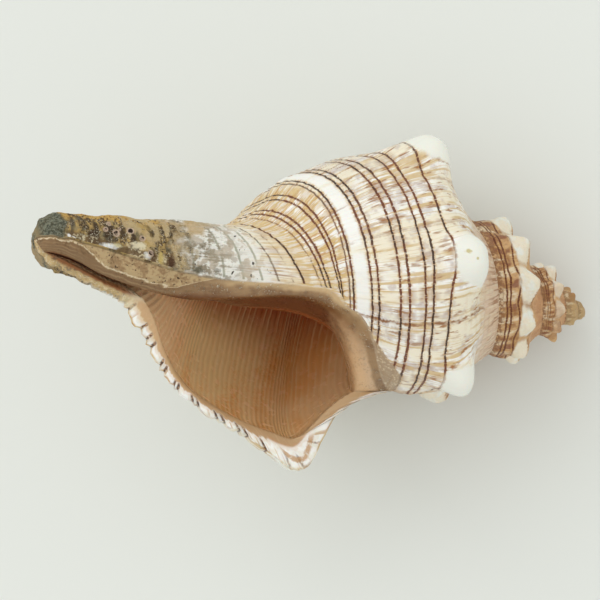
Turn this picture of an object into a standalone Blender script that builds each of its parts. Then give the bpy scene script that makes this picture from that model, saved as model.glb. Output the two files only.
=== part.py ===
"""Horse conch shell: one dextral shell, grown as one piece, lying on its back with the mouth up.

The shell is a spiral tube round a straight coiling axis. While it is modelled, the axis is X with
the apex at +X, and an angle of 0 about it points up, 90 points along +Y and 180 points down. The
angle grows as the shell grew, and the mouth's outer lip is where the growth stopped. Distances
along the axis are counted from the spiral's pole, just beyond the worn apex. The finished shell is
then turned to lie as it rests on a flat surface. Sizes are in millimetres until the last step.
"""

import math

import bmesh
import bpy
from mathutils import Matrix, Vector

MM = 0.001

# The growth law: every turn is this many times larger than the one before it.
GROWTH_PER_TURN = 1.91
SPIRE_TURNS = 4.125
BODY_START = -80.0
BODY_SIDE = 90.0
COLUMNS_PER_TURN = 48

# Outlines of the last whorl, from suture to canal tip: (from the pole, from the axis).
# The first five stations of the earliest outline are also the outline of every spire whorl.
SUTURE = (25.8, 13.0)
NEXT_SUTURE = (SUTURE[0] * GROWTH_PER_TURN, SUTURE[1] * GROWTH_PER_TURN)
CANAL_TIP = (142.8, 0.0)
SIDE_GROWTH = GROWTH_PER_TURN ** ((BODY_SIDE - BODY_START) / 360.0)
SIDE_SUTURE = (SUTURE[0] * SIDE_GROWTH, SUTURE[1] * SIDE_GROWTH)
START_OUTLINE = [
    SUTURE,
    (29.6, 16.2),
    (35.1, 22.1),
    (40.5, 24.0),
    NEXT_SUTURE,
    (65.9, 19.0),
    (71.6, 14.8),
    (78.5, 11.4),
    (101.6, 9.0),
    (136.0, 7.6),
    CANAL_TIP,
]
SIDE_OUTLINE = [
    SIDE_SUTURE,
    (41.6, 23.8),
    (48.1, 30.5),
    (54.7, 31.9),
    (66.0, 28.6),
    (76.8, 22.6),
    (83.6, 14.8),
    (91.0, 10.0),
    (107.0, 9.0),
    (136.2, 7.0),
    CANAL_TIP,
]
LIP_OUTLINE = [
    NEXT_SUTURE,
    (59.9, 29.6),
    (71.6, 40.3),
    (80.4, 40.5),
    (91.2, 38.1),
    (103.1, 32.1),
    (111.2, 23.4),
    (119.0, 13.8),
    (128.0, 10.0),
    (136.8, 6.6),
    CANAL_TIP,
]
STATIONS = len(START_OUTLINE) - 1
BAND = 4
ROWS_PER_STATION = 2

# Angles of the callus edge and of the lip at the same stations.
CALLUS_ANGLE = [-80.0, -80.0, -80.0, -80.0, -80.0, -22.0, -9.0, -10.0, -20.0, 10.0, 20.0]
LIP_ANGLE = [280.0, 280.0, 280.0, 280.0, 280.0, 280.0, 281.0, 285.0, 288.0, 293.0, 300.0]

# Knobs on the shoulder: wide apart on the last whorl, closer on the spire.
LIP_KNOB_ANGLE = 277.0
BODY_KNOB_STEP = 65.0
BODY_KNOBS = 6
SPIRE_KNOB_STEP = 38.0
KNOB_HEIGHT = 5.6
KNOB_FOOT = 1.3
KNOB_STATION = 1.95
KNOB_FLAT = 0.1
KNOB_FALL = 1.9
# How wide a knob is in steps, how blunt it is, and how far it goes towards the apex and out.
SPIRE_KNOB_SHAPE = (0.25, 2.0, 0.55, 0.75)
BODY_KNOB_SHAPE = (0.19, 2.8, 0.18, 0.95)
SHAPE_CHANGES_FROM = -210.0
SHAPE_CHANGES_OVER = 150.0
# The knobs nearest the apex are worn away: up to this size, and whole this much larger.
WORN_SIZE = 0.06
WORN_OVER = 0.2
# Some knobs came out larger than others: (angle, size), from the spire to the lip.
KNOB_SIZES = [
    (-455.0, 1.0),
    (-417.0, 0.8),
    (-379.0, 0.75),
    (-341.0, 1.12),
    (-303.0, 1.0),
    (-113.0, 1.3),
    (-48.0, 1.1),
    (17.0, 1.1),
    (82.0, 1.0),
    (212.0, 1.0),
    (277.0, 0.72),
]

# The mouth: wall, callus pad and the hollow that winds inwards behind them.
LIP_WALL = [2.6, 2.6, 2.6, 2.6, 2.6, 2.6, 2.6, 3.4, 2.2, 1.4, 1.0]
CANAL_WALL = 4.2
KNOB_HOLLOW = 0.15
CORNER_STATION = 0.85
LIP_BULGE = 1.0
PAD_RISE = 0.9
# Columella from the back corner of the mouth to the canal: (from the pole, from the axis, angle).
COLUMELLA = [
    (55.1, 25.9, 280.0),
    (63.5, 18.0, 303.0),
    (69.5, 13.0, 320.0),
    (78.0, 10.2, 328.0),
    (87.0, 9.6, 316.0),
    (96.0, 10.2, 306.0),
    (105.0, 11.2, 299.0),
    (113.0, 10.9, 301.0),
    (121.0, 9.8, 306.0),
    (128.0, 8.3, 313.0),
    (135.0, 6.0, 330.0),
    (139.5, 4.4, 335.0),
]
RIM_RINGS = 2
HOLLOW_RINGS = 15
HOLLOW_DEPTH = 290.0
CANAL_FROM = 5.2
CANAL_ENDS = 9.6
HOLLOW_ENDS = 6.85
SLIT_ANGLES = [(7.0, 298.0), (8.0, 304.0), (9.0, 320.0), (10.0, 325.0)]
CANAL_BACK = 50.0
CANAL_FLOOR = 3.6
# The columella is this much stouter beside the slit than it is deeper in the shell.
SLIT_SWELL = 2.4

# How the shell lies: turned about its own axis, and spire down by the pitch.
REST_ROLL = 0.30
REST_PITCH = 26.9

SHELL_COLOUR = (0.80, 0.68, 0.52)
SHELL_ROUGHNESS = 0.35


def smooth(x):
    """0 below 0, 1 above 1, with an even ease between."""
    x = min(max(x, 0.0), 1.0)
    return x * x * (3.0 - 2.0 * x)


def mixed(a, b, share):
    """The numbers that share of the way from those of a to those of b."""
    return tuple(p + (q - p) * share for p, q in zip(a, b))


def through(points, t):
    """The point at t on a smooth curve through points, where t counts the points from 0."""
    last = len(points) - 1
    i = min(int(t), last - 1)
    f = t - i
    p0 = points[max(i - 1, 0)]
    p1 = points[i]
    p2 = points[i + 1]
    p3 = points[min(i + 2, last)]
    if isinstance(p1, float):
        straight = (p2 - p0) * f
        square = (2.0 * p0 - 5.0 * p1 + 4.0 * p2 - p3) * f**2
        cube = (3.0 * p1 - p0 - 3.0 * p2 + p3) * f**3
        return 0.5 * (2.0 * p1 + straight + square + cube)
    return tuple(through([a, b, c, d], 1.0 + f) for a, b, c, d in zip(p0, p1, p2, p3))


def ended(shape, station):
    """A point of an outline, with the last stretch rounded over to close the canal's tip."""
    if station <= STATIONS - 1:
        return through(shape[:-1], station)
    turn = (station - STATIONS + 1) * math.pi / 2.0
    before, tip = shape[-2:]
    return before[0] + (tip[0] - before[0]) * math.sin(turn), before[1] * math.cos(turn)


def held_then(points, t, hold):
    """As through, but constant up to the station hold and with no overshoot there."""
    if t <= hold:
        return points[0]
    i = min(int(t), len(points) - 2)
    return points[i] + (points[i + 1] - points[i]) * smooth(t - i)


def growth(angle):
    """How large the shell is at an angle, against its size where the last whorl starts."""
    return GROWTH_PER_TURN ** ((angle - BODY_START) / 360.0)


def between(pairs, x):
    """The value at x on straight runs between (x, value) pairs, held beyond both ends."""
    if x <= pairs[0][0]:
        return pairs[0][1]
    for (low, first), (high, last) in zip(pairs, pairs[1:]):
        if x <= high:
            return first + (last - first) * (x - low) / (high - low)
    return pairs[-1][1]


def knob(angle, station):
    """How far the shoulder knobs carry a place towards the apex and away from the axis."""
    on_body = smooth((angle - SHAPE_CHANGES_FROM) / SHAPE_CHANGES_OVER)
    width, bluntness, lean, rise = mixed(SPIRE_KNOB_SHAPE, BODY_KNOB_SHAPE, on_body)
    first_spire = LIP_KNOB_ANGLE - BODY_KNOBS * BODY_KNOB_STEP
    if angle > first_spire:
        phase = (LIP_KNOB_ANGLE - angle) / BODY_KNOB_STEP
    else:
        phase = (first_spire - angle) / SPIRE_KNOB_STEP
    offset = abs(phase - round(phase))
    across = math.exp(-((offset / width) ** bluntness))
    if station < KNOB_STATION:
        along = smooth((station - KNOB_FOOT) / (KNOB_STATION - KNOB_FOOT))
    else:
        along = 1.0 - smooth((station - KNOB_STATION - KNOB_FLAT) / KNOB_FALL)
    worn = smooth((growth(angle) - WORN_SIZE) / WORN_OVER)
    height = KNOB_HEIGHT * growth(angle) ** 0.7 * across * along * worn
    height *= between(KNOB_SIZES, angle)
    return height * lean, height * rise


def outline(angle, station, knobs=1.0):
    """Distances from the pole and from the axis of the outer surface, with the knobs that high."""
    if angle <= BODY_START and station <= BAND:
        along, out = through(START_OUTLINE, station)
        size = growth(angle)
        along *= size
        out *= size
    else:
        ends = (
            held_then(CALLUS_ANGLE, station, BAND),
            BODY_SIDE,
            through(LIP_ANGLE, station),
        )
        shapes = [ended(shape, station) for shape in (START_OUTLINE, SIDE_OUTLINE, LIP_OUTLINE)]
        along = 0.0
        out = 0.0
        for i in range(3):
            j = (i + 1) % 3
            k = (i + 2) % 3
            weight = (angle - ends[j]) * (angle - ends[k])
            weight /= (ends[i] - ends[j]) * (ends[i] - ends[k])
            along += weight * math.log(shapes[i][0])
            out += weight * math.log(max(shapes[i][1], 1e-4))
        along = math.exp(along)
        out = math.exp(out)
    lean, height = knob(angle, station)
    return along - lean * knobs, out + height * knobs


def place(along, out, angle):
    """The point at a distance from the pole and the axis, at an angle about the axis."""
    turn = math.radians(angle)
    return Vector((-along, out * math.sin(turn), out * math.cos(turn)))


def inner_outline(angle, station, wall):
    """The outline moved in by the wall's thickness, square to the surface."""
    step = 0.05
    low = outline(angle, max(station - step, 0.0), KNOB_HOLLOW)
    high = outline(angle, min(station + step, STATIONS), KNOB_HOLLOW)
    run = high[0] - low[0]
    rise = high[1] - low[1]
    size = math.hypot(run, rise)
    along, out = outline(angle, station, KNOB_HOLLOW)
    return along + wall * rise / size, out - wall * run / size


def grid_of(bm, columns, rows, where):
    """A grid of faces whose vertex in column i and row j is at where(i, j)."""
    made = bmesh.ops.create_grid(bm, x_segments=columns, y_segments=rows, size=1.0)
    for vert in made["verts"]:
        i = round((vert.co.x + 1.0) / 2.0 * columns)
        j = round((vert.co.y + 1.0) / 2.0 * rows)
        vert.co = where(i, j)


def spire(bm):
    """All whorls but the last: a band that winds down from the apex."""
    columns = round(SPIRE_TURNS * COLUMNS_PER_TURN)

    def where(i, j):
        angle = BODY_START - (columns - i) * 360.0 / COLUMNS_PER_TURN
        station = j / ROWS_PER_STATION
        along, out = outline(angle, station)
        return place(along, out, angle)

    grid_of(bm, columns, BAND * ROWS_PER_STATION, where)


def lip_point(station):
    angle = through(LIP_ANGLE, station)
    along, out = outline(angle, station)
    return along, out, angle


def callus_point(station):
    angle = held_then(CALLUS_ANGLE, station, BAND)
    along, out = outline(angle, station)
    return along, out, angle


def body(bm):
    """The last whorl, from the suture to the tip of the canal and from the callus to the lip."""

    def where(i, j):
        station = j / ROWS_PER_STATION
        share = i / COLUMNS_PER_TURN
        first = held_then(CALLUS_ANGLE, station, BAND)
        last = through(LIP_ANGLE, station)
        angle = first + (last - first) * share
        along, out = outline(angle, station)
        return place(along, out, angle)

    grid_of(bm, COLUMNS_PER_TURN, STATIONS * ROWS_PER_STATION, where)


def canal_share(station, q):
    """How far a place in the hollow belongs to the canal, which is shallow, and not to the whorl."""
    return smooth((station - CANAL_FROM) / 2.4) * (1.0 - smooth((q - 0.25) / 0.4))


def whorl_back(q):
    """How far back from the lip the hollow of the whorl has wound at a depth."""
    return HOLLOW_DEPTH * q**1.5


def columella_out(along, q, in_canal):
    """The columella's distance from the axis, and the angle at which the mouth shows it."""
    size = GROWTH_PER_TURN ** (-whorl_back(q) / 360.0)
    size += (1.0 - size) * in_canal
    out, angle = columella_shape(along / size)
    out -= SLIT_SWELL * smooth((along / size - 92.0) / 12.0) * smooth(q / 0.3)
    out *= size
    out += (CANAL_FLOOR - out) * smooth(q / 0.25) * in_canal
    return out, angle


def lip_side(q, t):
    """The hollow's wall under the outer surface: q is 0 at the mouth and 1 at the back of the
    hollow, and t runs from the mouth's back corner to the end of the canal."""
    ends = HOLLOW_ENDS + (CANAL_ENDS - HOLLOW_ENDS) * (1.0 - smooth(q / 0.45))
    station = CORNER_STATION + (ends - CORNER_STATION) * t
    in_canal = canal_share(station, q)
    angle = through(LIP_ANGLE, station)
    angle += (between(SLIT_ANGLES, station) - angle) * in_canal
    angle -= whorl_back(q) * (1.0 - in_canal) + CANAL_BACK * smooth(q / 0.45) * in_canal
    wall = through(LIP_WALL, station)
    wall += (CANAL_WALL - wall) * smooth((station - 4.2) / 2.6) * smooth(q / 0.3)
    along, out = inner_outline(min(angle, LIP_ANGLE[0]), station, wall)
    if station > CANAL_FROM:
        core = columella_out(along, q, in_canal)[0]
        out = max(out, core + 0.15 + 2.5 * (1.0 - t))
    return along, out, angle


def columella_side(q, t):
    """The hollow's wall round the columella, with q and t as for the lip side."""
    first = lip_side(q, 0.0)
    last = lip_side(q, 1.0)
    shape = through(COLUMELLA, t * (len(COLUMELLA) - 1))
    progress = (shape[0] - COLUMELLA[0][0]) / (COLUMELLA[-1][0] - COLUMELLA[0][0])
    along = first[0] + (last[0] - first[0]) * progress
    in_canal = smooth((along - 92.0) / 20.0) * (1.0 - smooth((q - 0.25) / 0.4))
    out, mouth_angle = columella_out(along, q, in_canal)
    spread = (mouth_angle - 280.0) * (1.0 - smooth(q / 0.55))
    whorl_angle = 280.0 + spread - whorl_back(q)
    canal_angle = mouth_angle - CANAL_BACK * smooth(q / 0.45)
    angle = whorl_angle + (canal_angle - whorl_angle) * in_canal
    here = mixed(first, (along, out, angle), smooth(t / 0.12))
    return mixed(here, last, smooth((t - 0.85) / 0.15))


def columella_shape(along):
    """How far from the axis the columella is, and at what angle the mouth shows it."""
    last = len(COLUMELLA) - 1
    low = 0.0
    high = float(last)
    for _ in range(30):
        middle = (low + high) / 2.0
        if through(COLUMELLA, middle)[0] < along:
            low = middle
        else:
            high = middle
    return through(COLUMELLA, low)[1:]


def mouth_ring(bm, previous, points):
    """Joins a new closed ring of vertices to the one before it."""
    verts = [bm.verts.new(point) for point in points]
    count = len(verts)
    for i in range(count):
        j = (i + 1) % count
        bm.faces.new((previous[i], previous[j], verts[j], verts[i]))
    return verts


def mouth_points(make_lip, make_callus):
    """One ring round the mouth: the lip from the back corner to the canal, then the callus."""
    lip_rows = STATIONS * ROWS_PER_STATION
    callus_rows = (STATIONS - BAND) * ROWS_PER_STATION
    ring = [make_lip(j / lip_rows) for j in range(lip_rows + 1)]
    ring += [make_callus(j / callus_rows) for j in range(callus_rows - 1, 0, -1)]
    return ring


def mouth(bm):
    """The lip, the callus pad and the hollow, from the edges of the last whorl inwards."""

    def lip_edge(t):
        return place(*lip_point(t * STATIONS))

    def callus_edge(t):
        return place(*callus_point(BAND + t * (STATIONS - BAND)))

    edge = mouth_points(lip_edge, callus_edge)
    ring = [bm.verts.new(point) for point in edge]
    inner = mouth_points(lambda t: place(*lip_side(0.0, t)), lambda t: place(*columella_side(0.0, t)))
    lip_rows = STATIONS * ROWS_PER_STATION
    for step in range(1, RIM_RINGS):
        share = step / RIM_RINGS
        points = []
        for k, (a, b) in enumerate(zip(edge, inner)):
            point = a.lerp(b, share)
            away = Vector((0.0, point.y, point.z)).normalized()
            along_lip = k / lip_rows
            if k <= lip_rows:
                push = Vector((0.0, away.z, -away.y)) * LIP_BULGE
                push *= math.sin(math.pi * min(max(along_lip, 0.0), 1.0)) ** 0.5
            else:
                push = away * PAD_RISE * math.sin(math.pi * (k - lip_rows) / (len(edge) - lip_rows)) ** 0.5
            points.append(point + push * math.sin(math.pi * share))
        ring = mouth_ring(bm, ring, points)
    ring = mouth_ring(bm, ring, inner)
    for step in range(1, HOLLOW_RINGS + 1):
        q = step / HOLLOW_RINGS
        points = mouth_points(lambda t: place(*lip_side(q, t)), lambda t: place(*columella_side(q, t)))
        ring = mouth_ring(bm, ring, points)
    bm.faces.new(ring)


def apex(bm):
    """The worn, blunt top of the spire."""
    edges = [edge for edge in bm.edges if edge.is_boundary]
    made = bmesh.ops.holes_fill(bm, edges=edges, sides=0)
    bmesh.ops.poke(bm, faces=made["faces"])


def lay_down(bm):
    """Turns the shell to lie on its knobs, over the middle of its own box."""
    roll = Matrix.Rotation(math.radians(REST_ROLL), 3, "X")
    pitch = Matrix.Rotation(math.radians(REST_PITCH), 3, "Y")
    bmesh.ops.rotate(bm, cent=(0.0, 0.0, 0.0), matrix=pitch @ roll, verts=bm.verts)
    xs = [vert.co.x for vert in bm.verts]
    ys = [vert.co.y for vert in bm.verts]
    zs = [vert.co.z for vert in bm.verts]
    middle = Vector(((min(xs) + max(xs)) / 2.0, (min(ys) + max(ys)) / 2.0, min(zs)))
    bmesh.ops.translate(bm, vec=-middle, verts=bm.verts)


def shell_material():
    """Glossy shell lime, at the colour that its cream, brown and orange parts average to."""
    material = bpy.data.materials.new("shell lime")
    material.use_nodes = True
    inputs = material.node_tree.nodes["Principled BSDF"].inputs
    inputs["Base Color"].default_value = (*SHELL_COLOUR, 1.0)
    inputs["Roughness"].default_value = SHELL_ROUGHNESS
    inputs["Metallic"].default_value = 0.0
    return material


def shell():
    """The whole shell, as one closed solid."""
    bm = bmesh.new()
    spire(bm)
    body(bm)
    mouth(bm)
    bmesh.ops.remove_doubles(bm, verts=bm.verts, dist=0.002)
    apex(bm)
    bmesh.ops.triangulate(bm, faces=bm.faces)
    bmesh.ops.recalc_face_normals(bm, faces=bm.faces)
    lay_down(bm)
    bmesh.ops.scale(bm, vec=(MM, MM, MM), verts=bm.verts)
    mesh = bpy.data.meshes.new("horse_conch_shell")
    bm.to_mesh(mesh)
    bm.free()
    mesh.shade_smooth()
    mesh.materials.append(shell_material())
    return bpy.data.objects.new("horse_conch_shell", mesh)


def clear():
    for old in list(bpy.data.objects):
        bpy.data.objects.remove(old, do_unlink=True)


clear()
made = shell()
bpy.context.collection.objects.link(made)
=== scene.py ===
import math

import bmesh
import bpy
import numpy as np
from mathutils import Euler, Matrix, Vector, noise


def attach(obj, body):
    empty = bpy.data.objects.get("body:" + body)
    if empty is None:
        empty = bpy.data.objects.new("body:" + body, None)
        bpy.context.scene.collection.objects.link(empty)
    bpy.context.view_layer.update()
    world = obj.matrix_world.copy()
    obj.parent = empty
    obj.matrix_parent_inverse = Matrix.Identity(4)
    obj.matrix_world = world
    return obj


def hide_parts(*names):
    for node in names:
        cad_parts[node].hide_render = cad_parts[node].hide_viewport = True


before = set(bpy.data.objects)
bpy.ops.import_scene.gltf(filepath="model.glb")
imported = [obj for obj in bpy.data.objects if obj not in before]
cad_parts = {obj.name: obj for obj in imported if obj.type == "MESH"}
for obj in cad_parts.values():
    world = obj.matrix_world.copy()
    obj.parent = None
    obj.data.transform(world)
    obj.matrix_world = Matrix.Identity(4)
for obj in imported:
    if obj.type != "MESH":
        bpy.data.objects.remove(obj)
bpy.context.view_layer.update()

# ------ The form of the shell ------
# A horse conch's shell is one piece of chalky lime, laid down in layers by the snail's mantle.
# It grows as a tube that winds to the right round a straight axis, and every turn is the same
# shape as the one before it, only larger. The lip of the mouth is where the growth stopped.

# Sizes are in millimetres and angles in degrees about the axis, which is X with the apex at +X:
# 0 points up, 90 along +Y, and the angle grows with the shell. A place on an outline is given
# by its distance from the spiral's pole, just beyond the worn apex, and from the axis.
GROWTH_PER_TURN = 1.91
SPIRE_TURNS = 4.125
FIRST_ANGLE = -80.0
SIDE_ANGLE = 90.0
LAST_ANGLE = 280.0
SUTURE = (25.8, 13.0)
NEXT_SUTURE = (SUTURE[0] * GROWTH_PER_TURN, SUTURE[1] * GROWTH_PER_TURN)
SIDE_GROWTH = GROWTH_PER_TURN ** ((SIDE_ANGLE - FIRST_ANGLE) / 360.0)
SIDE_SUTURE = (SUTURE[0] * SIDE_GROWTH, SUTURE[1] * SIDE_GROWTH)
CANAL_TIP = (142.8, 0.0)

# Outlines of the last whorl, from the suture over the shoulder to the tip of the canal. The
# first five stations of the earliest one are the outline of every whorl of the spire too.
FIRST_OUTLINE = [
    SUTURE, (29.6, 16.2), (35.1, 22.1), (40.5, 24.0), NEXT_SUTURE, (65.9, 19.0), (71.6, 14.8),
    (78.5, 11.4), (101.6, 9.0), (136.0, 7.6), CANAL_TIP,
]
SIDE_OUTLINE = [
    SIDE_SUTURE, (41.6, 23.8), (48.1, 30.5), (54.7, 31.9), (66.0, 28.6), (76.8, 22.6),
    (83.6, 14.8), (91.0, 10.0), (107.0, 9.0), (136.2, 7.0), CANAL_TIP,
]
LIP_OUTLINE = [
    NEXT_SUTURE, (59.9, 29.6), (71.6, 40.3), (80.4, 40.5), (91.2, 38.1), (103.1, 32.1),
    (111.2, 23.4), (119.0, 13.8), (128.0, 10.0), (136.8, 6.6), CANAL_TIP,
]
# Stations are counted from 0 at the suture, BAND is the one at the next suture, and a row of
# the mesh may lie between two stations.
STATIONS = 10
BAND = 4
# Angles of the callus edge and of the lip at those stations.
CALLUS_ANGLES = [FIRST_ANGLE] * 5 + [-22.0, -9.0, -10.0, -20.0, 10.0, 20.0]
LIP_ANGLES = [LAST_ANGLE] * 6 + [281.0, 285.0, 288.0, 293.0, 300.0]

# Knobs on the shoulder: wide apart on the last whorl, closer on the spire.
LIP_KNOB_ANGLE = 277.0
BODY_KNOB_STEP = 65.0
SPIRE_KNOBS_FROM = LIP_KNOB_ANGLE - 6 * BODY_KNOB_STEP
SPIRE_KNOB_STEP = 38.0
KNOB_HEIGHT = 5.6
KNOB_STATION = 1.95
KNOB_FOOT = 1.3
# Some knobs came out larger than others: their angles, and sizes against KNOB_HEIGHT.
KNOB_SIZE_ANGLES = [-455.0, -417.0, -379.0, -341.0, -303.0, -113.0, -48.0, 17.0, 82.0, 212.0, 277.0]
KNOB_SIZES = [1.0, 0.8, 0.75, 1.12, 1.0, 1.3, 1.1, 1.1, 1.0, 1.0, 0.72]

# Mesh: columns run round the shell, so many to a turn, and rows from the suture to the tip.
SPIRE_COLUMNS = 144
BODY_COLUMNS = 2 * SPIRE_COLUMNS
ROWS_BY_STATION = [11, 11, 11, 11, 13, 11, 12, 26, 42, 16]

# Dark spiral lines: the row that each one keeps to, and half its width in millimetres.
LINES = [
    (0.42, 0.09), (0.74, 0.1), (1.02, 0.1), (1.3, 0.11), (1.62, 0.11), (2.00, 0.11),
    (2.36, 0.1), (3.06, 0.23), (3.51, 0.24), (3.69, 0.22), (4.02, 0.26), (4.19, 0.24),
    (4.59, 0.24), (4.72, 0.23), (5.09, 0.22), (5.2, 0.17), (5.55, 0.21), (5.7, 0.21),
    (6.1, 0.22), (6.28, 0.2), (6.5, 0.15), (6.95, 0.22), (7.12, 0.13), (7.3, 0.17),
    (7.48, 0.12), (7.66, 0.14), (7.84, 0.12), (8.1, 0.12),
]

# Old lip edges: the angle where each crosses SCAR_ROW, and its depth; all slant the same way.
SCARS = [(-23.0, 0.34), (26.0, 0.12), (51.0, 0.16), (118.0, 0.3), (163.0, 0.16), (206.0, 0.28), (249.0, 0.2)]
SCAR_ROW = 4.84
SCAR_SLANT = 4.6
# How far the lip's edge is scalloped, and how much of that it does outwards too.
SCALLOP = 0.8
SCALLOP_OUT = 0.9
# Holes bored by sponges and worms in the canal: (angle, row, radius in millimetres).
BORER_HOLES = [
    (51.0, 8.63, 0.45), (36.0, 8.67, 0.42), (31.0, 8.6, 0.6), (38.0, 8.5, 0.55),
    (40.0, 8.57, 0.36), (26.0, 8.43, 0.5), (2.0, 8.39, 0.5), (140.0, 8.55, 0.5),
    (152.0, 8.72, 0.4), (205.0, 8.35, 0.55), (236.0, 8.6, 0.45),
]
# Flakes of white lime that grew on the canal: (angle, row, radius and height in millimetres).
GROWTHS = [
    (12.0, 9.07, 0.9, 1.3), (9.0, 8.98, 0.6, 1.0), (4.0, 8.66, 1.3, 0.7), (8.0, 8.6, 0.8, 0.8),
    (14.0, 8.5, 1.0, 0.5), (9.0, 8.44, 1.1, 0.6), (-2.0, 8.39, 0.8, 0.5),
]


def ease(x):
    """0 below 0, 1 above 1, with an even ease between."""
    x = np.clip(x, 0.0, 1.0)
    return x * x * (3.0 - 2.0 * x)


def curve(points, t):
    """The values at t on a smooth curve through points, where t counts the points from 0."""
    points = np.asarray(points, float)
    t = np.asarray(t, float)
    last = len(points) - 1
    i = np.clip(t.astype(int), 0, last - 1)
    f = t - i
    p0 = points[np.maximum(i - 1, 0)]
    p1 = points[i]
    p2 = points[i + 1]
    p3 = points[np.minimum(i + 2, last)]
    if points.ndim > 1:
        f = f[..., None]
    cubic = 3 * p1 - p0 - 3 * p2 + p3
    return 0.5 * (2 * p1 + (p2 - p0) * f + (2 * p0 - 5 * p1 + 4 * p2 - p3) * f**2 + cubic * f**3)


def closed_outline(shape, station):
    """Points of an outline, with the last stretch rounded over to close the canal's tip."""
    found = curve(shape[:-1], np.minimum(station, STATIONS - 1))
    turn = (np.maximum(station, STATIONS - 1) - STATIONS + 1) * math.pi / 2.0
    before, tip = shape[-2:]
    over_along = before[0] + (tip[0] - before[0]) * np.sin(turn)
    over_out = before[1] * np.cos(turn)
    rounded = station > STATIONS - 1
    along = np.where(rounded, over_along, found[..., 0])
    out = np.where(rounded, over_out, found[..., 1])
    return along, out


def callus_angle(station):
    """The angle of the callus edge, which leaves the suture where the last whorl starts."""
    points = np.asarray(CALLUS_ANGLES)
    station = np.asarray(station, float)
    i = np.clip(station.astype(int), 0, STATIONS - 1)
    return points[i] + (points[i + 1] - points[i]) * ease(station - i)


def lip_angle(station):
    return curve(LIP_ANGLES, station)


def growth(angle):
    """How large the shell is at an angle, against its size where the last whorl starts."""
    return GROWTH_PER_TURN ** ((angle - FIRST_ANGLE) / 360.0)


def crest_height(angle):
    """How high a whole knob stands at an angle."""
    return KNOB_HEIGHT * growth(angle) ** 0.7


def knob(angle, station):
    """How far the shoulder knobs carry a place towards the apex and away from the axis."""
    on_body = ease((angle + 210.0) / 150.0)
    body_phase = (LIP_KNOB_ANGLE - angle) / BODY_KNOB_STEP
    spire_phase = (SPIRE_KNOBS_FROM - angle) / SPIRE_KNOB_STEP
    phase = np.where(angle > SPIRE_KNOBS_FROM, body_phase, spire_phase)
    offset = np.abs(phase - np.round(phase))
    across = np.exp(-((offset / (0.3 - 0.11 * on_body)) ** (2.0 + 0.8 * on_body)))
    rise = ease((station - KNOB_FOOT) / (KNOB_STATION - KNOB_FOOT))
    fall = 1.0 - ease((station - KNOB_STATION - 0.1) / 1.9)
    along = np.where(station < KNOB_STATION, rise, fall)
    worn = ease((growth(angle) - 0.06) / 0.2)
    height = crest_height(angle) * across * along * worn
    height = height * np.interp(angle, KNOB_SIZE_ANGLES, KNOB_SIZES)
    return height * (0.28 - 0.1 * on_body), height * (0.85 + 0.1 * on_body)


def outline(angle, station, knobs=1.0):
    """Distances from the pole and from the axis of the outer surface, with the knobs that high."""
    angle, station = np.broadcast_arrays(np.asarray(angle, float), np.asarray(station, float))
    whorl = curve(FIRST_OUTLINE, np.minimum(station, BAND))
    size = growth(angle)
    known = (callus_angle(station), np.full_like(station, SIDE_ANGLE), lip_angle(station))
    along = np.zeros_like(station)
    out = np.zeros_like(station)
    for i, shape in enumerate((FIRST_OUTLINE, SIDE_OUTLINE, LIP_OUTLINE)):
        j = (i + 1) % 3
        k = (i + 2) % 3
        weight = (angle - known[j]) * (angle - known[k])
        weight = weight / ((known[i] - known[j]) * (known[i] - known[k]))
        shape_along, shape_out = closed_outline(shape, station)
        along += weight * np.log(shape_along)
        out += weight * np.log(np.maximum(shape_out, 1e-4))
    in_spire = (angle <= FIRST_ANGLE) & (station <= BAND)
    along = np.where(in_spire, whorl[..., 0] * size, np.exp(along))
    out = np.where(in_spire, whorl[..., 1] * size, np.exp(out))
    lean, height = knob(angle, station)
    return along - lean * knobs, out + height * knobs


def place(along, out, angle):
    """Points at distances from the pole and the axis, at angles about the axis."""
    turn = np.radians(angle)
    return np.stack([-along, out * np.sin(turn), out * np.cos(turn)], axis=-1)


def unit(vectors):
    """Vectors in the same directions, each 1 long."""
    return vectors / np.maximum(np.linalg.norm(vectors, axis=-1, keepdims=True), 1e-9)


def outward(points):
    """Unit normals of a grid of points whose first index runs round the shell."""
    return unit(np.cross(np.gradient(points, axis=0), np.gradient(points, axis=1)))


# Rows of the mesh fall on every line and midway between lines, so that each line stays sharp.
line_rows = np.array([line[0] for line in LINES])
knots = {float(station) for station in range(STATIONS + 1)} | set(line_rows)
knots |= {(low + high) / 2.0 for low, high in zip(line_rows, line_rows[1:])}
knots = sorted(knots)
rows = [0.0]
for low, high in zip(knots, knots[1:]):
    count = max(1, round((high - low) * ROWS_BY_STATION[int(low)]))
    rows += [low + (high - low) * (step + 1) / count for step in range(count)]
rows = np.array(rows)
BAND_ROWS = int(np.argmin(np.abs(rows - BAND)))
row_middles = (rows[1:] + rows[:-1]) / 2.0
nearest_line = np.argmin(np.abs(row_middles[:, None] - line_rows[None, :]), axis=1)


def rough(places, seed):
    """Smooth random values between about -1 and 1 at places given in the noise's own units."""
    flat = np.asarray(places).reshape(-1, 3) + seed
    found = np.array([noise.noise(Vector(one)) for one in flat])
    return found.reshape(np.asarray(places).shape[:-1])


def rough_map(x, y, seed):
    """The same, at places given by two numbers."""
    x, y = np.broadcast_arrays(x, y)
    return rough(np.stack([x, y, np.zeros(x.shape)], axis=-1), seed)


def line_offsets(points):
    """Distances square to the lines from each row to every line, for each column of a grid."""
    round_the_shell = np.gradient(points, axis=0)
    round_the_shell = unit(round_the_shell[:, 1:] + round_the_shell[:, :-1])
    steps = np.linalg.norm(np.cross(np.diff(points, axis=1), round_the_shell), axis=-1)
    down = np.concatenate([np.zeros((len(points), 1)), np.cumsum(steps, axis=1)], axis=1)
    line_down = np.array([np.interp(line_rows, rows[: points.shape[1]], column) for column in down])
    return down[:, :, None] - line_down[:, None, :]


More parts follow.
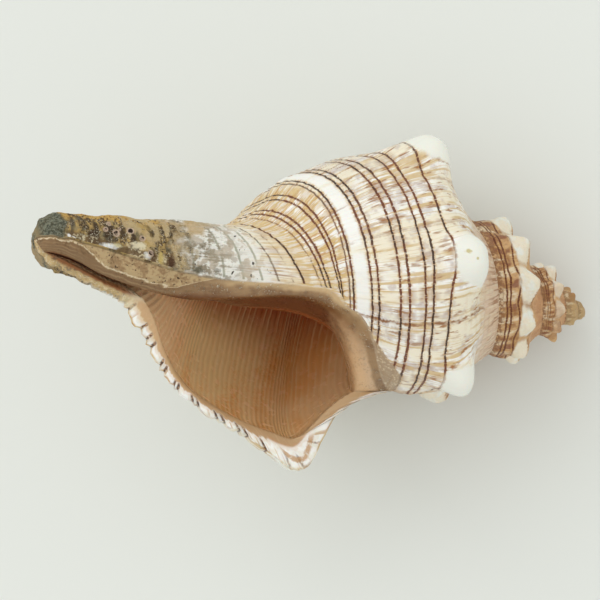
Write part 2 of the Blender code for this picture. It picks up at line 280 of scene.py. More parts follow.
def relief(angle, row, points):
    """How far growth folds, grooves, scars and wear lift the outer surface, in millimetres."""
    size = np.minimum(growth(angle), 1.6) ** 0.7
    folds = rough_map(angle / 5.0, row * 0.45, 3.0)
    fine_folds = rough_map(angle / 2.0, row * 0.8, 17.0)
    lift = 0.3 * rough(points / 9.0, 5.0) + (0.2 * folds + 0.1 * fine_folds) * size
    offsets = np.abs(line_offsets(points)).min(axis=-1)
    lift = lift - 0.14 * np.exp(-((offsets / 0.42) ** 2)) * ease(size / 0.6)
    # The edge of an old lip, where growth stopped for a while and went on from a little lower.
    for scar_angle, depth in SCARS:
        past = angle - scar_angle - SCAR_SLANT * (SCAR_ROW - row)
        step_down = ease(past / 0.8) * (1.0 - ease(past / 14.0))
        lift = lift - depth * step_down * ease((row - 0.6) / 0.8) * ease((7.2 - row) / 0.8)
    # The spire is pitted all over, and its lime is crumbled along the sutures.
    in_spire = ease((-60.0 - angle) / 30.0)
    near_suture = (1.0 - ease(row / 0.7)) + ease((row - 3.3) / 0.6)
    crumbs = rough_map(angle / 3.2, row * 2.6, 29.0)
    lift = lift + 0.55 * crumbs * near_suture * in_spire * size
    lift = lift + 0.55 * rough(points / 2.6, 113.0) * in_spire * size
    # The worn canal has coarse folds across it, lumps, pits, bored holes and flakes grown on.
    worn = ease((row - 7.4) / 0.9) * (1.0 - ease((row - 9.5) / 0.5))
    cross_folds = rough_map(row * 7.0, angle / 60.0, 41.0)
    pitting = np.abs(rough(points / 1.5, 53.0))
    lumps = rough(points / 3.6, 67.0)
    lift = lift + worn * (0.5 * cross_folds - 0.45 * pitting + 0.55 * lumps)
    for hole_angle, hole_row, radius in BORER_HOLES:
        centre = place(*outline(hole_angle, hole_row), hole_angle)
        away = np.linalg.norm(points - centre, axis=-1)
        lift = lift + 0.16 * np.exp(-(((away - radius * 1.35) / (0.35 * radius)) ** 2))
        lift = lift - 0.6 * np.exp(-((away / radius) ** 4))
    for growth_angle, growth_row, radius, height in GROWTHS:
        centre = place(*outline(growth_angle, growth_row), growth_angle)
        away = np.linalg.norm(points - centre, axis=-1) * (1.0 + 0.35 * rough(points / 0.9, 97.0))
        lift = lift + height * np.exp(-((away / radius) ** 4))
    by_callus = 1.0 - ease((angle - callus_angle(row)) / 16.0)
    edge_lumps = np.maximum(rough(points / 1.1, 103.0), -0.1) * by_callus
    lift = lift + 1.1 * edge_lumps * worn * ease((row - 8.1) / 0.2)
    # Knobs are smoother, and the edges where grids meet stay where they are.
    on_knob = knob(angle, row)[1] / crest_height(angle)
    fixed = ease(row / 0.3) * (1.0 - (0.85 - 0.6 * in_spire) * ease(on_knob / 0.7))
    spire_foot = ease((BAND - row) / 0.25)
    past_start = ease((angle - FIRST_ANGLE) / 14.0)
    fixed = fixed * np.where(row <= BAND, np.maximum(spire_foot, past_start), 1.0)
    fixed = fixed * np.where(row > BAND, np.maximum(ease((row - BAND) / 0.5), past_start), 1.0)
    fixed = fixed * (1.0 - ease((row - 9.75) / 0.25))
    return lift * fixed


spire_columns = round(SPIRE_TURNS * SPIRE_COLUMNS)
spire_angles = FIRST_ANGLE - np.arange(spire_columns, -1, -1) * 360.0 / SPIRE_COLUMNS
spire_angle, spire_row = np.meshgrid(spire_angles, rows[: BAND_ROWS + 1], indexing="ij")
spire_points = place(*outline(spire_angle, spire_row), spire_angle)
spire_points += outward(spire_points) * relief(spire_angle, spire_row, spire_points)[..., None]

share, body_row = np.meshgrid(np.linspace(0.0, 1.0, BODY_COLUMNS + 1), rows, indexing="ij")
body_first = callus_angle(body_row)
body_angle = body_first + (lip_angle(body_row) - body_first) * share
body_points = place(*outline(body_angle, body_row), body_angle)
body_points += outward(body_points) * relief(body_angle, body_row, body_points)[..., None]
# The lip's edge is scalloped, a little further on between lines than at them.
to_line = np.abs(line_offsets(body_points)).min(axis=-1)
scallop = SCALLOP * (np.minimum(to_line, 1.0) - 0.6) + 0.5 * rough_map(body_row * 4.0, 0.0, 71.0)
scallop = scallop * ease((share - 0.95) / 0.05) * ease(body_row / 0.6) * ease((8.6 - body_row) / 0.6)
forwards = unit(np.gradient(body_points, axis=0))
flare = outward(body_points) * (SCALLOP_OUT * ease((body_row - 2.6) / 0.8))[..., None]
body_points += (forwards + flare) * scallop[..., None]

# The last whorl shares its first edge and its suture with the spire.
body_points[0, : BAND_ROWS + 1] = spire_points[-1]
body_points[0::2, 0] = spire_points[-1 - SPIRE_COLUMNS :, -1]
body_points[1::2, 0] = (body_points[0:-1:2, 0] + body_points[2::2, 0]) / 2.0


# ------ The mouth ------
# The mouth is lined with glaze: a thin outer lip, a callus spread over the whorl before it, the
# columella that the whorls wind round, and the hollow where the animal lived. It is the same
# piece of lime as the rest, smoother because the mantle polished it.

# Thickness of the lip at the stations and of the canal's wall, and how much of the knobs shows
# in the hollow under them.
LIP_WALLS = [2.6] * 7 + [3.4, 2.2, 1.4, 1.0]
CANAL_WALL = 4.2
KNOB_HOLLOW = 0.15
CORNER_STATION = 0.85
# How far the rim is rounded: forwards at the lip, and outwards where it is a pad of callus.
LIP_BULGE = 1.0
PAD_RISE = 0.9
# Columella from the back corner of the mouth to the canal: (from the pole, from the axis, angle).
COLUMELLA = [
    (55.1, 25.9, 280.0), (63.5, 18.0, 303.0), (69.5, 13.0, 320.0), (78.0, 10.2, 328.0),
    (87.0, 9.6, 316.0), (96.0, 10.2, 306.0), (105.0, 11.2, 299.0), (113.0, 10.9, 301.0),
    (121.0, 9.8, 306.0), (128.0, 8.3, 313.0), (135.0, 6.0, 330.0), (139.5, 4.4, 335.0),
]
RIM_RINGS = 12
# The rim is counted as this many rings however many the mesh has.
RIM_DEPTH = 8.0
HOLLOW_RINGS = 44
PAD_SMOOTHING = 8
# How far back the hollow winds, the station where the canal starts, and the stations where the
# hollow ends: with the canal, and beyond CANAL_DEPTH of the way back, where the canal stops.
HOLLOW_DEPTH = 290.0
CANAL_FROM = 5.2
CANAL_ENDS = 9.6
HOLLOW_ENDS = 6.85
CANAL_DEPTH = 0.45
# Where the slit of the canal opens, how far back it goes and how close to the axis.
SLIT_STATIONS = [7.0, 8.0, 9.0, 10.0]
SLIT_ANGLES = [298.0, 304.0, 320.0, 325.0]
CANAL_BACK = 50.0
CANAL_FLOOR = 3.6
# The columella is this much stouter beside the slit than it is deeper in the shell.
SLIT_SWELL = 2.4

columella_steps = curve(COLUMELLA, np.linspace(0.0, len(COLUMELLA) - 1, 600))


def columella_shape(along):
    """How far from the axis the columella is, and at what angle the mouth shows it."""
    return [np.interp(along, columella_steps[:, 0], columella_steps[:, n]) for n in (1, 2)]


def inner_outline(angle, station, wall):
    """The outline moved in by the wall's thickness, square to the surface."""
    step = 0.05
    low = outline(angle, np.maximum(station - step, 0.0), KNOB_HOLLOW)
    high = outline(angle, np.minimum(station + step, STATIONS), KNOB_HOLLOW)
    run = high[0] - low[0]
    rise = high[1] - low[1]
    size = np.hypot(run, rise)
    along, out = outline(angle, station, KNOB_HOLLOW)
    return along + wall * rise / size, out - wall * run / size


def canal_share(station, q):
    """How far a place in the hollow belongs to the canal, which is shallow, and not the whorl."""
    return ease((station - CANAL_FROM) / 2.4) * (1.0 - ease((q - 0.25) / 0.4))


def whorl_back(q):
    """How far back from the lip the hollow of the whorl has wound at a depth."""
    return HOLLOW_DEPTH * q**1.5


def columella_out(along, q, in_canal):
    """The columella's distance from the axis, and the angle at which the mouth shows it."""
    size = GROWTH_PER_TURN ** (-whorl_back(q) / 360.0)
    size = size + (1.0 - size) * in_canal
    out, angle = columella_shape(along / size)
    out = out - SLIT_SWELL * ease((along / size - 92.0) / 12.0) * ease(q / 0.3)
    out = out * size
    out = out + (CANAL_FLOOR - out) * ease(q / 0.25) * in_canal
    return out, angle


def wall_end(q):
    """The station where the hollow's wall ends at a depth."""
    return HOLLOW_ENDS + (CANAL_ENDS - HOLLOW_ENDS) * (1.0 - ease(q / CANAL_DEPTH))


def lip_side(q, t):
    """The hollow's wall under the outer surface: q is 0 at the mouth and 1 at the back of the
    hollow, and t runs from the mouth's back corner to the end of the canal."""
    station = CORNER_STATION + (wall_end(q) - CORNER_STATION) * t
    in_canal = canal_share(station, q)
    angle = lip_angle(station)
    angle = angle + (np.interp(station, SLIT_STATIONS, SLIT_ANGLES) - angle) * in_canal
    angle = angle - whorl_back(q) * (1.0 - in_canal) - CANAL_BACK * ease(q / CANAL_DEPTH) * in_canal
    wall = curve(LIP_WALLS, station)
    wall = wall + (CANAL_WALL - wall) * ease((station - 4.2) / 2.6) * ease(q / 0.3)
    along, out = inner_outline(np.minimum(angle, LAST_ANGLE), station, wall)
    core = columella_out(along, q, in_canal)[0] + 0.15 + 2.5 * (1.0 - t)
    out = np.where(station > CANAL_FROM, np.maximum(out, core), out)
    return np.stack([along, out, angle], axis=-1)


def columella_side(q, t):
    """The hollow's wall round the columella, with q and t as for the lip side."""
    first = lip_side(q, np.zeros_like(t))
    last = lip_side(q, np.ones_like(t))
    shape = curve(COLUMELLA, t * (len(COLUMELLA) - 1))
    progress = (shape[..., 0] - COLUMELLA[0][0]) / (COLUMELLA[-1][0] - COLUMELLA[0][0])
    along = first[..., 0] + (last[..., 0] - first[..., 0]) * progress
    in_canal = ease((along - 92.0) / 20.0) * (1.0 - ease((q - 0.25) / 0.4))
    out, mouth_angle = columella_out(along, q, in_canal)
    spread = (mouth_angle - LAST_ANGLE) * (1.0 - ease(q / 0.55))
    whorl_angle = LAST_ANGLE + spread - whorl_back(q)
    canal_angle = mouth_angle - CANAL_BACK * ease(q / CANAL_DEPTH)
    angle = whorl_angle + (canal_angle - whorl_angle) * in_canal
    here = first + (np.stack([along, out, angle], axis=-1) - first) * ease(t / 0.12)[..., None]
    return here + (last - here) * ease((t - 0.85) / 0.15)[..., None]


# A ring round the mouth runs down the lip to the canal's tip, and back up the callus edge.
lip_t = rows / STATIONS
callus_t = ((rows[BAND_ROWS:] - BAND) / (STATIONS - BAND))[-2:0:-1]
lip_count = len(lip_t)
edge_ring = np.concatenate([body_points[-1], body_points[0, BAND_ROWS:][-2:0:-1]])
ring_size = len(edge_ring)
ring_row = np.concatenate([rows, 2 * STATIONS - rows[BAND_ROWS:][-2:0:-1]])


def mouth_ring(q):
    """Places of one ring of the hollow, and their angles."""
    found = np.concatenate([lip_side(q, lip_t), columella_side(q, callus_t)])
    return place(found[:, 0], found[:, 1], found[:, 2]), found[:, 2]


inner_ring, inner_angle = mouth_ring(0.0)
place_in_ring = np.arange(ring_size)
on_lip = place_in_ring < lip_count
lip_share = np.clip(place_in_ring / (lip_count - 1), 0.0, 1.0)
callus_share = np.clip((place_in_ring - lip_count + 1) / (ring_size - lip_count + 1), 0.0, 1.0)
# Each ring has its points, their angles and rows, and how deep it counts as being.
rings = []
edge_angle = np.concatenate([lip_angle(rows), callus_angle(rows[BAND_ROWS:])[-2:0:-1] + 360.0])
for step in range(1, RIM_RINGS + 1):
    part_in = step / RIM_RINGS
    points = edge_ring + (inner_ring - edge_ring) * part_in
    away = unit(points * np.array([0.0, 1.0, 1.0]))
    forwards = np.stack([away[:, 0], away[:, 2], -away[:, 1]], axis=-1)
    bulge = forwards * (LIP_BULGE * np.sin(math.pi * lip_share) ** 0.5)[:, None]
    pad = away * (PAD_RISE * np.sin(math.pi * callus_share) ** 0.5)[:, None]
    points = points + np.where(on_lip[:, None], bulge, pad) * math.sin(math.pi * part_in)
    # Along the canal the callus ends in a thin scalloped edge, and the lip is rough and lumpy.
    in_canal = ease((np.minimum(ring_row, 2 * STATIONS - ring_row) - 7.2) / 0.8)
    in_canal = in_canal * ease((np.abs(ring_row - STATIONS) - 0.1) / 0.3)
    scallops = rough_map(ring_row * 7.0, 0.0, 83.0)
    ridge = np.exp(-(((part_in - 0.46 - 0.16 * scallops) / 0.11) ** 2)) * 0.55
    lumps = 0.9 * rough(points / 1.7, 91.0) * math.sin(math.pi * min(1.0, part_in * 1.5))
    points = points + away * (np.where(on_lip, lumps, ridge + 0.25 * lumps) * in_canal)[:, None]
    angles = edge_angle + (inner_angle - edge_angle) * part_in
    rings.append((points, angles, ring_row, RIM_DEPTH * part_in))
for step in range(1, HOLLOW_RINGS + 1):
    depth = (step / HOLLOW_RINGS) ** 0.85
    points, angles = mouth_ring(depth)
    lip_row = CORNER_STATION + (wall_end(depth) - CORNER_STATION) * ring_row / STATIONS
    rings.append((points, angles, np.where(on_lip, lip_row, ring_row), RIM_DEPTH + step))


# ------ The whole shell as one skin ------
# Outside, mouth and hollow are one closed skin of lime with its colours in the lime's material: cream
# with dark spiral lines over the last whorl, browner on the spire, chalky and crusted on the worn
# canal, and orange-brown glaze in the mouth, with painted shade in the hollow, holes and folds.

bm = bmesh.new()
growth_map = bm.loops.layers.uv.new("growth")
line_map = bm.loops.layers.uv.new("lines")
inward = bm.verts.layers.float.new("inward")
crest_layer = bm.verts.layers.float.new("crest")
on_lip_layer = bm.verts.layers.float.new("lip")


def lay_grid(points, angles, stations):
    """Adds a grid of faces at the points, with each corner's place on the growth map and its
    distance from the nearest line beside that line's half width on the line map."""
    columns, down = points.shape[0] - 1, points.shape[1] - 1
    offsets = line_offsets(points)
    crests = knob(angles, stations)[1] / crest_height(angles)
    made = bmesh.ops.create_grid(bm, x_segments=columns, y_segments=down, size=1.0)
    grid_place = {}
    for vert in made["verts"]:
        i = round((vert.co.x + 1.0) / 2.0 * columns)
        j = round((vert.co.y + 1.0) / 2.0 * down)
        vert.co = points[i, j]
        vert[crest_layer] = crests[i, j]
        grid_place[vert] = (i, j)
    for face in {face for vert in made["verts"] for face in vert.link_faces}:
        line = nearest_line[min(grid_place[vert][1] for vert in face.verts)]
        for loop in face.loops:
            i, j = grid_place[loop.vert]
            loop[growth_map].uv = (angles[i, j] / 360.0, stations[i, j])
            loop[line_map].uv = (offsets[i, j, line], LINES[line][1])


lay_grid(spire_points, spire_angle, spire_row)
# Twice as many columns meet the suture from below as from above.
turn_before = (FIRST_ANGLE - 361.0) / 360.0


def meets_last_whorl(vert):
    """Whether a corner of the spire is on the suture that the last whorl is built against."""
    turns, row = vert.link_loops[0][growth_map].uv
    return abs(row - BAND) < 1e-4 and turns > turn_before


edges = [edge for edge in bm.edges if edge.is_boundary and all(map(meets_last_whorl, edge.verts))]
bmesh.ops.subdivide_edges(bm, edges=edges, cuts=1)
lay_grid(body_points, body_angle, body_row)

# Round the callus there are no lines: the nearest is this far off, and this is half its width.
NO_LINE = (9.0, 0.1)
lip_offsets = line_offsets(body_points)[-1]
last_row = 2 * STATIONS - BAND
before = [bm.verts.new(point) for point in edge_ring]
angles_before = edge_angle
rows_before = ring_row
for points, angles, rows_now, depth in rings:
    now = [bm.verts.new(point) for point in points]
    for i in range(ring_size):
        j = (i + 1) % ring_size
        face = bm.faces.new((before[i], before[j], now[j], now[i]))
        ups = (
            (angles_before[i], rows_before[i]),
            (angles_before[j], rows_before[j] if j else last_row),
            (angles[j], rows_now[j] if j else last_row),
            (angles[i], rows_now[i]),
        )
        line = nearest_line[min(i, len(nearest_line) - 1)]
        for loop, (angle, row), k in zip(face.loops, ups, (i, j, j, i)):
            loop[growth_map].uv = (angle / 360.0, row)
            on_edge = i < lip_count - 1
            loop[line_map].uv = (lip_offsets[k, line], LINES[line][1]) if on_edge else NO_LINE
    for i, vert in enumerate(now):
        vert[inward] = depth
        vert[on_lip_layer] = float(on_lip[i])
    before = now
    angles_before = angles
    rows_before = rows_now
bm.faces.new(before)

WELD = 0.002
bmesh.ops.remove_doubles(bm, verts=bm.verts, dist=WELD)
# The pad of callus runs smoothly into the hollow.
pad_verts = [
    vert
    for vert in bm.verts
    if RIM_DEPTH * 0.7 < vert[inward] < RIM_DEPTH + 6.5 and vert[on_lip_layer] < 0.5
]
axes = {"use_axis_x": True, "use_axis_y": True, "use_axis_z": True}
for _ in range(PAD_SMOOTHING):
    bmesh.ops.smooth_vert(bm, verts=pad_verts, factor=0.5, **axes)
# The worn apex is closed with a fan of faces.
edges = [edge for edge in bm.edges if edge.is_boundary]
cap = bmesh.ops.holes_fill(bm, edges=edges, sides=0)
bmesh.ops.poke(bm, faces=cap["faces"])
bmesh.ops.recalc_face_normals(bm, faces=bm.faces)

# How the shell lies: turned about its own axis, spire down by the pitch, and with the spiral's
# pole at this place over the surface it rests on.
REST_ROLL = 0.3
REST_PITCH = 26.9
POLE = Vector((64.6361, 4.435, 7.5881))
MM = 0.001
lie = Matrix.Rotation(math.radians(REST_PITCH), 3, "Y") @ Matrix.Rotation(math.radians(REST_ROLL), 3, "X")
bmesh.ops.rotate(bm, cent=(0.0, 0.0, 0.0), matrix=lie, verts=bm.verts)
bmesh.ops.translate(bm, vec=POLE, verts=bm.verts)
# The knob and the spire are rubbed flat where the shell stands on them.
for vert in bm.verts:
    vert.co.z = max(vert.co.z, 0.0)
bmesh.ops.scale(bm, vec=(MM, MM, MM), verts=bm.verts)


def add(name, data):
    """Puts a mesh, lamp or camera in the scene."""
    made = bpy.data.objects.new(name, data)
    bpy.context.scene.collection.objects.link(made)
    return made


mesh = bpy.data.meshes.new("shell")
bm.to_mesh(mesh)
bm.free()
mesh.shade_smooth()
shell = add("shell", mesh)
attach(shell, "root")
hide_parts("horse_conch_shell")


def maths(operation, backwards=False):
    """A method of Value that adds a maths node."""

    def method(*terms):
        inputs = dict(enumerate(reversed(terms) if backwards else terms))
        return Value(Value.node("ShaderNodeMath", {"operation": operation}, inputs).outputs[0])

    return method


class Value:
    """A number, colour or place in a material. Sums and products of these add the nodes for them."""

    tree = None

    def __init__(self, socket):
        self.socket = socket

    @classmethod
    def node(cls, kind, settings=None, inputs=None):
        """Adds a node, with its settings first and then its inputs by name or number."""
        made = cls.tree.nodes.new(kind)
        for name, setting in (settings or {}).items():
            setattr(made, name, setting)
        for name, given in (inputs or {}).items():
            if isinstance(given, Value):
                cls.tree.links.new(given.socket, made.inputs[name])
            else:
                made.inputs[name].default_value = given
        return made

    __add__ = __radd__ = maths("ADD")
    __sub__ = maths("SUBTRACT")
    __rsub__ = maths("SUBTRACT", backwards=True)
    __mul__ = __rmul__ = maths("MULTIPLY")
    __truediv__ = maths("DIVIDE")
    __pow__ = maths("POWER")
    __rpow__ = maths("POWER", backwards=True)
    __abs__ = maths("ABSOLUTE")
    wave = maths("SINE")
    # The greater and the lesser of two.
    over = maths("MAXIMUM")
    under = maths("MINIMUM")

    def ease(self, start, end):
        """0 at start and 1 at end, with an even ease between; start may be the higher."""
        settings = {"interpolation_type": "SMOOTHSTEP"}
        made = self.node("ShaderNodeMapRange", settings, {"Value": self, "From Min": start, "From Max": end})
        return Value(made.outputs[0])

    def around(self, centre, flat, end):
        """1 within flat of a centre, easing to 0 at end."""
        return abs(self - centre).ease(end, flat)


def parts_of(vector):
    return [Value(part) for part in Value.node("ShaderNodeSeparateXYZ", None, {0: vector}).outputs]


def attribute(name):
    return Value(Value.node("ShaderNodeAttribute", {"attribute_name": name}).outputs["Fac"])


def grain(at, scale, detail=2.0, roughness=0.5):
    """Smooth random values about 0.5 at a place."""
    inputs = {"Vector": at, "Scale": scale, "Detail": detail, "Roughness": roughness}
    return Value(Value.node("ShaderNodeTexNoise", None, inputs).outputs[0])


def grain_map(x, y, seed, detail=3.0):
    """The same, at a place given by two numbers."""
    at = Value(Value.node("ShaderNodeCombineXYZ", None, {0: x, 1: y, 2: seed}).outputs[0])
    return grain(at, 1.0, detail)


def blend(first, second, share):
    """The first colour where share is 0 and the second where it is 1."""
    inputs = {0: share}
    for number, colour in ((6, first), (7, second)):
        inputs[number] = colour if isinstance(colour, Value) else (*colour, 1.0)
    return Value(Value.node("ShaderNodeMix", {"data_type": "RGBA"}, inputs).outputs[2])


def coats(ground, *layers):
    """A ground colour under layers of (colour, share), laid on in turn."""
    for paint, share in layers:
        ground = blend(ground, paint, share)
    return ground


lime = bpy.data.materials.new("shell lime")
lime.use_nodes = True
lime.node_tree.nodes.clear()
Value.tree = lime.node_tree

# Where a place is: in millimetres, and on the maps of growth and of lines.
inputs = {0: Value(Value.node("ShaderNodeTexCoord").outputs["Object"]), "Scale": 1.0 / MM}
where = Value(Value.node("ShaderNodeVectorMath", {"operation": "SCALE"}, inputs).outputs[0])
on_growth = Value(Value.node("ShaderNodeUVMap", {"uv_map": "growth"}).outputs[0])
turns, row_round_mouth, _ = parts_of(on_growth)
row = row_round_mouth.under(2.0 * STATIONS - row_round_mouth)
angle = turns * 360.0
on_lines = Value(Value.node("ShaderNodeUVMap", {"uv_map": "lines"}).outputs[0])
off_line, line_half, _ = parts_of(on_lines)
ring = attribute("inward")
by_lip = attribute("lip")
crest = attribute("crest")


def streaks(width, length, seed, detail=2.0):
    """Random values drawn out along the lip's edge as it was, width degrees by length rows."""
    slanted = angle + row * SCAR_SLANT
    return grain_map(slanted / width, row / length, seed, detail)


cloudy = grain(where, 0.09, 3.0)
mottle = grain(where, 0.35, 4.0)
smudges = grain(where, 0.55, 5.0, 0.6)
speckle = grain(where, 1.6, 3.0)
crumble = grain(where, 3.5, 3.0, 0.6)
gritty = speckle * 0.5 + mottle * 0.5
bands = streaks(9.0, 3.0, 1.0)
strokes = streaks(2.6, 2.2, 5.0, 3.0)
hairs = streaks(0.9, 3.5, 9.0, 3.0)
dabs = streaks(2.2, 0.5, 13.0, 3.0)


def ragged(value, by_blotches, by_specks=0.0):
    """A value made unsteady by that much, so that what it bounds gets an uneven edge."""
    value = value + (mottle - 0.5) * by_blotches
    return value + (speckle - 0.5) * by_specks if by_specks else value


def patch(centre_angle, centre_row, half_angle, half_row):
    """1 at a place on the growth map, easing to 0 at ragged edges."""
    across = (angle - centre_angle) / half_angle
    down = (row - centre_row) / half_row
    return ragged((across * across + down * down) ** 0.5, 1.1, 1.3).ease(1.05, 0.35)


# The last whorl: cream-white, tinted and smeared along the growth lines.
CREAM = (0.84, 0.77, 0.61)
WHITE = (0.89, 0.88, 0.83)
LILAC = (0.5, 0.41, 0.385)
TAN = (0.62, 0.44, 0.2)
RUST = (0.36, 0.15, 0.045)
between_lines = abs(off_line).ease(2.2, 0.4) * row.ease(2.9, 3.1) * row.ease(5.0, 4.8)
shade = grain_map(angle / 5.0 + row * 0.8, row / 1.1, 37.0).ease(0.5, 0.62)
colour = coats(
    CREAM,
    (WHITE, (cloudy * 0.5 + bands * 0.5).ease(0.44, 0.56)),
    (LILAC, (bands * 0.4 + mottle * 0.6).ease(0.5, 0.6) * 0.55),
    (TAN, strokes.ease(0.51, 0.6) * cloudy.ease(0.38, 0.52) * 0.85),
    (TAN, hairs.ease(0.54, 0.62) * bands.ease(0.35, 0.55) * 0.65),
    ((0.44, 0.3, 0.22), between_lines * shade * 0.6),
    ((0.4, 0.24, 0.14), dabs.ease(0.55, 0.65) * bands.ease(0.4, 0.55) * 0.9),
    (RUST, dabs.ease(0.6, 0.68) * strokes.ease(0.45, 0.56) * 0.9),
)
# Below the white band it is ochre, with orange-brown hairs and bone-white scuffs.
OCHRE = (0.66, 0.48, 0.21)
yellow = row.ease(5.12, 5.35) * row.ease(7.4, 6.7)
colour = coats(
    colour,
    (OCHRE, yellow * (strokes * 0.6 + mottle * 0.4).ease(0.4, 0.5) * 0.85),
    ((0.52, 0.25, 0.08), yellow * hairs.ease(0.52, 0.6) * 0.65),
    ((0.8, 0.74, 0.66), yellow * dabs.ease(0.52, 0.6) * 0.75),
    (WHITE, row.around(4.9, 0.08, 0.18) * bands.ease(0.25, 0.45) * 0.95),
)
# The ramp between the suture and the knobs is pinkish tan with slanting brown dashes.
ramp = ragged(row, 0.6).ease(1.65, 0.8)
dashes = grain_map(angle / 2.4 + row * 3.0, row / 0.9, 21.0).ease(0.5, 0.62)
colour = coats(
    colour,
    ((0.64, 0.45, 0.3), ramp * 0.85),
    ((0.76, 0.66, 0.5), ramp * strokes.ease(0.5, 0.62) * 0.7),
    ((0.33, 0.16, 0.08), dashes * row.ease(1.5, 0.1) * 0.85),
)
# Old lip edges are edged with brown, the deeper ones more.
for scar_angle, depth in SCARS:
    past = ragged(angle - scar_angle + (row - SCAR_ROW) * SCAR_SLANT, 4.0, 1.5)
    edge = past.around(0.4, 0.2, 1.6) * row.ease(0.9, 1.6) * row.ease(7.0, 6.0)
    colour = blend(colour, (0.3, 0.14, 0.06), edge * dabs.ease(0.35, 0.55) * min(1.0, depth * 3.0))

# The spire is tan and brown with bars across it, and its worn apex is ochre.
on_spire = ragged(angle, 30.0).ease(-62.0, -100.0)
spire_bars = grain_map(angle / 11.0 + row * 0.5, row / 1.6, 43.0)
spire_colour = coats(
    (0.62, 0.37, 0.16),
    ((0.36, 0.165, 0.05), (mottle * 0.6 + spire_bars * 0.4).ease(0.44, 0.58)),
    ((0.82, 0.7, 0.5), spire_bars.ease(0.48, 0.4) * row.ease(2.6, 3.0) * 0.75),
    ((0.66, 0.37, 0.2), row.ease(1.9, 1.4) * 0.6),
    ((0.33, 0.14, 0.05), dabs.ease(0.56, 0.7) * 0.45),
    ((0.24, 0.07, 0.02), spire_bars.ease(0.49, 0.57) * row.around(3.5, 0.25, 0.45) * 0.9),
)
suture = row.ease(0.35, 0.08).over(row.ease(3.72, 3.92) * on_spire)
colour = coats(
    colour,
    (spire_colour, on_spire * 0.95),
    ((0.26, 0.12, 0.05), suture * speckle.ease(0.38, 0.56) * on_spire * 0.9),
    ((0.52, 0.39, 0.19), ragged(angle, 200.0).ease(-900.0, -1100.0) * 0.55),
)

# Knobs are white and glassy, and one has two olive stains.
knob_edge = ragged(crest, 0.3) + on_spire * (row.around(2.35, 0.35, 0.75) * 0.21 + 0.12)
white_knob = knob_edge.ease(0.34, 0.5) * ragged(row, 0.3).ease(3.2, 3.02) * angle.ease(-800.0, -620.0)
white_knob = white_knob * (1.0 - on_spire * (row + (speckle - 0.5) * 0.3).ease(2.0, 1.85))
knob_white = blend((0.81, 0.81, 0.73), (0.82, 0.74, 0.58), on_spire * mottle.ease(0.36, 0.56))
stains = patch(19.0, 2.72, 1.2, 0.12).over(patch(16.0, 2.45, 0.8, 0.08))
colour = coats(colour, (knob_white, white_knob), ((0.52, 0.44, 0.16), stains * 0.8))

# Dark spiral lines: beaded, a little unsteady, and broken where the surface is worn.
UMBER = (0.05, 0.02, 0.01)
spire_size = growth(angle).under(1.0)
half = line_half * (0.25 + spire_size * 0.75) * (1.0 + on_spire * 0.25)
jitter = (grain(where, 0.55, 2.0) - 0.5) * 0.75 + (speckle - 0.5) * 0.4
beads = grain_map((angle + row * SCAR_SLANT) / 0.9, row * 0.6, 71.0)
line_width = half * (0.4 + cloudy * 0.3 + speckle * 0.45 + beads * 0.5)
line = abs(off_line + jitter * half * 3.2).ease(line_width + 0.1, line_width - 0.06)
strength = line_half.ease(0.06, 0.21)
whole = (mottle * 0.55 + speckle * 0.25 + strength * 0.42).ease(0.58, 0.68)
whole = whole * (0.35 + beads.ease(0.34, 0.44) * 0.65)
faded = (1.0 - on_spire * row.ease(3.78, 3.88)) * angle.ease(-880.0, -600.0)
faded = faded * (1.0 - white_knob * 0.85) * strength
line = line * whole * faded * row.ease(8.3, 7.2)
halo = abs(off_line + jitter).ease(half + 0.6, half) * speckle.ease(0.4, 0.6) * 0.7 * faded
line_colour = blend(UMBER, (0.15, 0.04, 0.014), cloudy.ease(0.42, 0.56) + on_spire)
colour = coats(colour, ((0.58, 0.32, 0.1), halo * row.ease(7.6, 6.6)), (line_colour, line * 0.97))

# The canal is chalky where it is rubbed, with thin olive lines, smudges, and small holes painted as
# near-black spots of painted shade.
chalk = ragged(row, 0.6).ease(7.15, 7.6) * row.ease(8.6, 8.2)
dirt = smudges * 0.7 + dabs * 0.3
thin_lines = abs(off_line + jitter * 0.5).ease(0.42, 0.12)
chalky = coats(
    (0.54, 0.47, 0.38),
    ((0.84, 0.82, 0.75), mottle.ease(0.43, 0.52)),
    ((0.3, 0.3, 0.2), thin_lines * mottle.ease(0.38, 0.52) * 0.75),
    ((0.3, 0.25, 0.17), dirt.ease(0.47, 0.56) * row.ease(7.4, 8.0) * 0.95),
    ((0.52, 0.35, 0.14), cloudy.ease(0.44, 0.56) * row.ease(7.5, 8.0) * 0.8),
    # Near-black spots: painted shade standing in for small holes.
    ((0.06, 0.055, 0.04), grain(where, 0.9, 2.0).ease(0.68, 0.72)),
)
# Beyond, a crust of ochre and dark brown folds across it, orange on top, with pale crumbs; the dark brown in
# the troughs between the raised ochre folds is partly painted shade.
crust = ragged(row, 0.6, 0.2).ease(8.06, 8.26)
across_folds = grain_map(row * 11.0, angle / 50.0, 3.0, 4.0)
on_top = ragged(angle, 40.0).ease(52.0, 66.0) * angle.ease(150.0, 110.0)
tan_bars = grain_map(row * 16.0, angle / 35.0, 3.0) * row.ease(8.62, 8.5)
crusty = coats(
    # Dark brown ground: partly the crust's colour, partly painted shade in the troughs of the folds.
    (0.075, 0.045, 0.018),
    ((0.5, 0.34, 0.12), across_folds.ease(0.4, 0.6)),
    ((0.17, 0.17, 0.115), grain(where, 0.4, 4.0).ease(0.52, 0.62) * 0.5),
    ((0.6, 0.37, 0.1), on_top * across_folds.ease(0.34, 0.48) * 0.9),
    ((0.36, 0.13, 0.03), on_top * speckle.ease(0.52, 0.64) * 0.8),
    ((0.055, 0.03, 0.014), gritty.ease(0.5, 0.56) * 0.85),
    ((0.56, 0.42, 0.22), tan_bars.ease(0.44, 0.54) * 0.85),
    ((0.76, 0.68, 0.5), crumble.ease(0.57, 0.64) * mottle.ease(0.46, 0.58) * 0.85),
)
